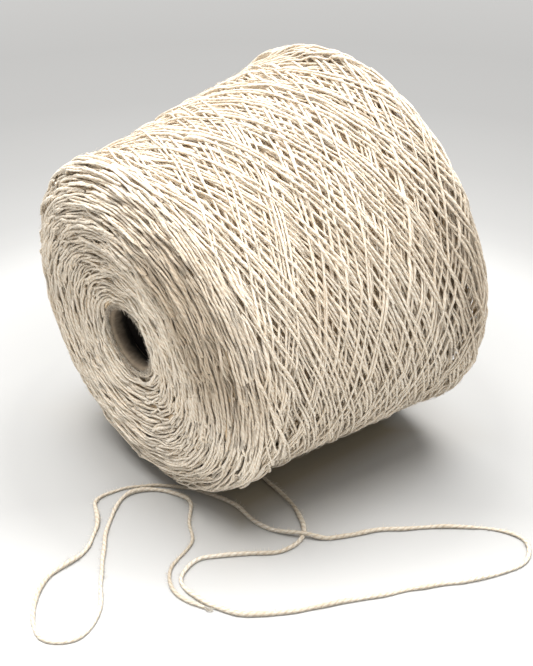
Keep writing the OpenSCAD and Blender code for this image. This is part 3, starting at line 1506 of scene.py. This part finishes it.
@dataclass(frozen=True)
class FloorFinish:
    """White surface with painted light and shade: it turns light grey away from the object, with a
    painted pool of light in front and a painted shadow right beside the object.
    """

    # painted shade: grey at a distance from the origin, in metres, dipping round the object and greyer
    # far away
    shade_greys: tuple[tuple[float, float], ...] = (
        (0.100, 0.385), (0.135, 0.330), (0.170, 0.350), (0.228, 0.385), (0.275, 0.302),
        (0.302, 0.276), (0.383, 0.237), (0.504, 0.205), (0.66, 0.196), (0.9, 0.215))
    # middle of the painted pool of light, and how white the floor is at a distance from it
    light_pool: tuple[float, float, float] = (-0.36, -0.44, 0.0)
    whiteness: tuple[tuple[float, float], ...] = ((0.28, 1.0), (0.40, 0.4), (0.46, 0.16), (0.51, 0.0))
    white: tuple[float, float, float] = (0.85, 0.85, 0.85)
    # painted contact shadow: dark, warm colour from the yarn's shade and bounce on the floor right beside
    # it
    contact_shadow: tuple[tuple[float, tuple[float, float, float]], ...] = (
        (0.050, (0.72, 0.64, 0.49)), (0.066, (1.0, 0.985, 0.95)), (0.1, (1.0, 1.0, 0.99)))

    def make(self) -> bpy.types.Material:
        """Builds the material.

        Returns:
            The material.
        """
        b = NodeBench("studio_floor")
        place = b.place()
        from_middle = b.vector("LENGTH", place)["Value"]
        from_pool = b.vector("DISTANCE", place, self.light_pool)["Value"]
        # painted shade: the floor greys round the object and far from it
        colour = b.ramp(from_middle, [(far, (grey,) * 3) for far, grey in self.shade_greys])
        bright = b.ramp(from_pool, [(far, (share,) * 3) for far, share in self.whiteness])
        # painted pool of light in front of the object
        colour = b.mix(bright, colour, self.white)
        x, y, _ = b.split(place)
        beside = b.math("MAXIMUM", b.math("ABSOLUTE", y), b.math("ABSOLUTE", x))
        # painted contact shadow right beside the object
        b.dye(b.mix(1.0, colour, b.ramp(beside, list(self.contact_shadow)), "MULTIPLY"))
        b.set_surface(Roughness=0.6, Specular_IOR_Level=0.2)
        return b.material


# ---------------------------------------------------------------- the paper cone


@dataclass
class PaperCone:
    """The tapered paper tube, its rolled nose, its lining coloured near black as painted shade of the
    bore, and the starting turns of yarn.
    """

    shape: PackageShape
    wall: float = 1.9
    liner: float = 0.6
    lip_depth: float = 8.0
    lip_wall: float = 1.2
    liner_gap: float = 0.3
    turns: int = 4
    reserve_gap: float = 7.0
    yarn_radius: float = 0.9

    def _turned(self, name: str, outline: list[tuple[float, float]],
                finish: bpy.types.Material) -> bpy.types.Object:
        """A closed outline of (radius, station) turned round the axis and laid down.

        Args:
            name: Name of the piece.
            outline: The outline, in millimetres.
            finish: Its material.

        Returns:
            The piece.
        """
        mesh = turned(outline, 128)
        bmesh.ops.transform(mesh, matrix=self.shape.pose.matrix(), verts=mesh.verts)
        return finished(name, mesh, finish)

    def build(self) -> list[bpy.types.Object]:
        """Makes the cone's pieces.

        Returns:
            The tube, its lining and the starting turns.
        """
        return [self._tube(), self._bore_shade_ply(), self._starting_turns()]

    def _tube(self) -> bpy.types.Object:
        """The outer paper tube with the nose rolled in.

        Returns:
            The piece.
        """
        s = self.shape
        end = s.cone_end
        land = s.nose_radius - self.wall - self.lip_wall
        edge = (self.wall + self.lip_wall) / 2
        half = (s.cone_radius(s.nose_recess + edge) - land) / 2
        land_end = s.nose_recess + self.lip_depth
        arc = [(land + half + half * math.cos(a), s.nose_recess + edge - edge * math.sin(a))
               for a in np.linspace(0, math.pi, 17)]
        outline = arc + [(land, land_end - 0.3), (land + 0.25, land_end),
                         (s.cone_radius(land_end) - self.wall, land_end)]
        stations = np.linspace(land_end, end - 0.4, 24)[1:]
        outline += [(s.cone_radius(x) - self.wall, x) for x in stations]
        outline += [(s.cone_radius(end) - self.wall + 0.35, end), (s.cone_radius(end) - 0.4, end),
                    (s.cone_radius(end), end - 0.4)]
        outline += [(s.cone_radius(x), x) for x in stations[-2::-1]]
        piece = self._turned("paper_tube", outline, BoardFinish(
            "paperboard", (0.36, 0.29, 0.21), (0.24, 0.185, 0.13)).make())
        # the rolled nose turns near black inside the bore as painted shade
        piece.data.materials.append(BoardFinish(
            "rolled_nose_paper", (0.34, 0.27, 0.195), (0.22, 0.17, 0.12), darkens=True).make())
        nose = MM * (s.pose.axis_x + land_end + 1.0)
        for face in piece.data.polygons:
            face.material_index = int(face.center.x < nose)
        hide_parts("paper_cone")
        return piece

    def _bore_shade_ply(self) -> bpy.types.Object:
        """The ply inside the tube, coloured near black as painted shade of the bore.

        Returns:
            The piece.
        """
        s = self.shape
        stations = np.linspace(s.nose_recess + self.lip_depth + self.liner_gap, s.cone_end, 20)
        outline = [(s.cone_radius(x) - self.wall, x) for x in stations]
        outline += [(s.cone_radius(x) - self.wall - self.liner, x) for x in stations[::-1]]
        # near-black colour: painted shade deep inside the bore
        piece = self._turned("painted_bore_shade_ply", outline, BoardFinish(
            "painted_bore_shade_ply", (0.020, 0.015, 0.012), (0.008, 0.006, 0.005), 0.9).make())
        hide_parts("bore_lining")
        return piece

    def _starting_turns(self) -> bpy.types.Object:
        """The turns of yarn on the bare paper at the base, running in from the winding.

        Returns:
            The piece.
        """
        s = self.shape
        rng = np.random.default_rng(21)
        pitch = 2 * self.yarn_radius * 1.05
        t = np.arange(0, self.turns, 1 / 120)
        station = s.winding_length + self.reserve_gap - 0.5 * pitch + t * pitch * 0.98
        radius = np.array([s.cone_radius(x) for x in station]) + self.yarn_radius * 0.98
        points = s.pose.place(radius, t * TURN + 1.0, station)
        thick = YarnThickness(radius=0.86, slub_every=160).along(rng, len(t), 1.9)
        line = YarnLine(points, np.clip(thick, 0.6, 0.95) * MM)
        piece = YarnTubes("starting_turns", [line], 2).build(YarnFinish("starting_turn_yarn").make())
        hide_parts("reserve_turns")
        return piece


# ---------------------------------------------------------------- the loose yarn


@dataclass
class LooseYarn:
    """The free end of the yarn, lying in loops in front of the package."""

    radius: float = 0.9
    over: float = 2.0
    length: float = 918.0
    route: tuple[tuple[float, float, int], ...] = (
        (-27, -22, 0), (-34, -75, 0), (-44, -88, 0), (-58, -90, 0), (-94, -70, 0),
        (-108, -75, 0), (-110, -90, 0), (-103, -108, 0), (-88, -121, 0), (-30, -148, 0),
        (10, -168, 0), (27, -170, 0), (38, -159, 0), (31, -142, 0), (-10, -111, 0),
        (-34, -98, 0), (-44, -88, 1), (-54, -71, 0), (-56, -45, 0), (-65, -24, 0),
        (-79, -9, 0), (-95, -1, 0), (-108, -2, 0), (-119, -20, 0), (-134, -31, 0),
        (-157, -35, 0), (-172, -49, 0), (-179, -66, 0), (-168, -77, 0), (-152, -72, 0),
        (-131, -43, 0), (-103, -12, 0), (-91, -7, 0), (-81, -12, 0), (-71, -30, 0),
        (-82, -45, 0), (-89, -57, 0), (-108, -67, 0), (-115, -79, 0), (-111, -97, 0))

    def _span(self, p: list[np.ndarray], u: np.ndarray) -> np.ndarray:
        """Smooth span between the second and third of four route points.

        Args:
            p: The four points, with their heights.
            u: Shares of the way along the span.

        Returns:
            Points of the span.
        """
        knots = [0.0]
        for a, b in zip(p, p[1:]):
            knots.append(knots[-1] + math.sqrt(math.hypot(*(b[:2] - a[:2]))))
        t = (knots[1] + (knots[2] - knots[1]) * u)[:, None]

        def between(a: np.ndarray, b: np.ndarray, ta: float, tb: float) -> np.ndarray:
            """Straight blend of two lines of points over a stretch of knots."""
            return (a * (tb - t) + b * (t - ta)) / (tb - ta)

        a = [between(p[k][:2], p[k + 1][:2], knots[k], knots[k + 1]) for k in range(3)]
        b = [between(a[k], a[k + 1], knots[k], knots[k + 2]) for k in range(2)]
        flat = between(b[0], b[1], knots[1], knots[2])
        rise = p[1][2] + (p[2][2] - p[1][2]) * smooth(u)
        return np.column_stack([flat, rise])

    def centre_line(self) -> np.ndarray:
        """Evenly spaced points of the yarn's middle, in millimetres.

        Returns:
            The points.
        """
        route = [np.array([x, y, self.over * up], float) for x, y, up in self.route]
        route = [2 * route[0] - route[1], *route, 2 * route[-1] - route[-2]]
        spans = [self._span(route[k:k + 4], np.arange(0, 1, 0.05)) for k in range(len(route) - 3)]
        line = np.vstack([*spans, route[-2]])
        line[:, 2] += self.radius
        run = np.concatenate([[0], np.cumsum(np.linalg.norm(np.diff(line, axis=0), axis=1))])
        even = np.linspace(0, run[-1], int(run[-1] / 1.8))
        return np.column_stack([np.interp(even, run, line[:, k]) for k in range(3)])

    def build(self) -> list[bpy.types.Object]:
        """Makes the free end and the wisps at its tip.

        Returns:
            The yarn and its frayed tip.
        """
        rng = np.random.default_rng(5)
        line = self.centre_line()
        count = len(line)
        ahead = np.gradient(line[:, :2], axis=0)
        ahead /= np.linalg.norm(ahead, axis=1)[:, None]
        settle = smooth(np.arange(count) / 8) * smooth((count - 1 - np.arange(count)) / 4)
        shift = (0.30 * wander(rng, count, 5) + 0.25 * wander(rng, count, 2.4)) * settle
        line[:, 0] -= shift * ahead[:, 1]
        line[:, 1] += shift * ahead[:, 0]
        thick = YarnThickness(radius=0.88, slub_every=60, slub_swell=0.5).along(rng, count, 1.8)
        thick = np.minimum(thick, 1.25)
        low = line[:, 2] < self.radius + 0.05
        line[low, 2] = np.maximum(thick[low] * 0.97, 0.5)
        curve = YarnTubes("loose_yarn_end", [YarnLine(line * MM, thick * MM)], 2).curve()
        # the free end gets a darker copy of the yarn's colours: painted shade
        curve.materials.append(YarnFinish("loose_yarn", light=(0.54, 0.48, 0.39),
                                          dark=(0.34, 0.28, 0.21), along_scale=self.length).make())
        piece = placed("loose_yarn_end", curve)
        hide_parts("loose_yarn")
        fibres = self._fibres(line, thick, rng)
        return [piece, fibres]

    def _fibres(self, line: np.ndarray, thick: np.ndarray,
                rng: np.random.Generator) -> bpy.types.Object:
        """Short fibres that stand off the loose yarn, and the frayed ones at its bare tip.

        Args:
            line: Centre line of the yarn, in millimetres.
            thick: Its radii.
            rng: Source of random numbers.

        Returns:
            The fibres.
        """
        hairs = []
        u = np.array([0.0, 0.5, 1.0])[:, None]
        ahead = np.gradient(line, axis=0)
        ahead /= np.linalg.norm(ahead, axis=1)[:, None]
        tip = len(line) - 1
        for k in [*rng.integers(4, tip, 1300), *[tip] * 26]:
            out = np.array([-ahead[k][1], ahead[k][0], 0]) * rng.choice([-1, 1])
            out = out + np.array([0, 0, rng.uniform(0, 0.8)])
            along = ahead[k] * (rng.uniform(1.2, 3.0) if k == tip else rng.normal(0, 0.9))
            reach = rng.uniform(2.0, 5.5) if k == tip else rng.uniform(0.9, 2.6)
            way = along + out * (rng.uniform(0, 0.7) if k == tip else rng.uniform(0.5, 1.0))
            way *= reach / np.linalg.norm(way)
            root = line[k] + (0.3 if k == tip else 0.8) * thick[k] * out / np.linalg.norm(out)
            hair = root + way * u + rng.normal(0, 0.18, 3) * reach * u * (1 - u)
            hair[:, 2] = np.maximum(hair[:, 2], 0.12)
            size = 0.11 if k == tip else 0.06
            hairs.append(YarnLine(hair * MM, MM * size * np.array([1.0, 0.8, 0.5]), float(k)))
        finish = YarnFinish("loose_yarn_fibre", light=(0.74, 0.68, 0.58), dark=(0.52, 0.45, 0.36))
        return YarnTubes("loose_yarn_fibres", hairs, 0).build(finish.make())


# ---------------------------------------------------------------- the studio


@dataclass(frozen=True)
class SoftSky:
    """One broad, even light: the direction that it shines along, its width, strength and tint."""

    name: str
    towards: tuple[float, float, float]
    width: float
    strength: float
    tint: tuple[float, float, float] = (1.0, 1.0, 1.0)

    def build(self) -> None:
        """Hangs the light."""
        data = bpy.data.lights.new(self.name, "SUN")
        data.angle = math.radians(self.width)
        data.energy = self.strength
        data.color = self.tint
        lamp = placed(self.name, data)
        lamp.rotation_mode = "QUATERNION"
        lamp.rotation_quaternion = Vector(self.towards).to_track_quat("-Z", "Y")


@dataclass
class Studio:
    """Camera, floor and soft lights."""

    eye: tuple[float, float, float] = (-0.3511, -0.4340, 0.4015)
    gaze: tuple[float, float, float] = (0.5410, 0.6583, -0.5234)
    lens: float = 66.468
    surround: float = 0.5
    floor_radius: float = 6.0
    lights: tuple[SoftSky, ...] = (
        SoftSky("overhead", (-0.04, -0.14, -1.0), 56, 7.2, (1.0, 0.99, 0.975)),
        SoftSky("right_window", (-0.75, 0.75, -0.45), 50, 0.25))

    def place_camera(self) -> None:
        """Puts the camera in its place."""
        data = bpy.data.cameras.new("camera")
        data.lens = self.lens
        data.sensor_width = 36
        data.clip_start, data.clip_end = 0.02, 50
        camera = placed("camera", data)
        camera.location = self.eye
        camera.rotation_mode = "QUATERNION"
        camera.rotation_quaternion = Vector(self.gaze).to_track_quat("-Z", "Y")
        bpy.context.scene.camera = camera

    def build(self) -> None:
        """Lays the floor and hangs the lights."""
        mesh = bmesh.new()
        bmesh.ops.create_circle(mesh, cap_ends=True, segments=96, radius=self.floor_radius)
        floor = finished("studio_floor", mesh, FloorFinish().make(), False)
        scene = bpy.context.scene
        scene.view_settings.view_transform = "Standard"
        world = bpy.data.worlds.new("studio")
        scene.world = world
        world.use_nodes = True
        sky = world.node_tree.nodes["Background"]
        sky.inputs["Color"].default_value = (1, 1, 1, 1)
        sky.inputs["Strength"].default_value = self.surround
        for light in self.lights:
            light.build()


# ---------------------------------------------------------------- main


def main() -> None:
    """Builds the yarn cone in the frame."""
    logging.basicConfig(level=logging.INFO, format="%(message)s")
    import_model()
    studio = Studio()
    studio.place_camera()
    shape = PackageShape()
    made: list[tuple[Slot, bpy.types.Object]] = []
    made += [(Slot.YARN, piece) for piece in LooseYarn().build()]
    tube, lining, turns = PaperCone(shape).build()
    made += [(Slot.PAPERBOARD, tube), (Slot.SHADE_PLY, lining), (Slot.YARN, turns)]
    made += [(Slot.YARN, piece) for piece in Winding(shape).build()]
    for slot, piece in made:
        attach(piece, "root")
        size = len(piece.data.polygons) if piece.type == "MESH" else 0
        LOG.info("%s: %s, %d faces", slot.value, piece.name, size)
    studio.build()


if __name__ == "__main__":
    main()
